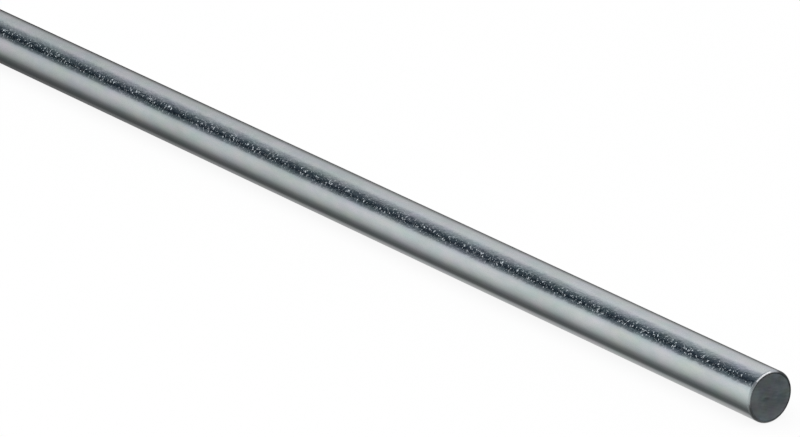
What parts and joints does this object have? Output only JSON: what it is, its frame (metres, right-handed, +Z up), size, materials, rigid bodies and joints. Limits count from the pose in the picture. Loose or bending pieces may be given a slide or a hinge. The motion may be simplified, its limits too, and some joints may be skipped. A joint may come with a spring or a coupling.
{
  "type": "axle rod",
  "caption": "Straight round zinc-plated steel rod, cut square with a bevelled rim at each end, that wheels, bushes and collars slide onto as an axle.",
  "frame": {"origin": "middle of the rod, on its axis", "axes": "+Y along the rod, the line that a wheel on it turns about, +Z up; the end that the picture shows is the -Y end"},
  "size_m": [0.0126, 0.9144, 0.0126],
  "materials": {
    "zinc_plated_steel": "bright zinc plating over drawn steel, finely grained, with dull dark bare steel on the cut ends"
  },
  "bodies": {
    "root": {"axle_rod": "zinc_plated_steel"}
  },
  "joints": []
}
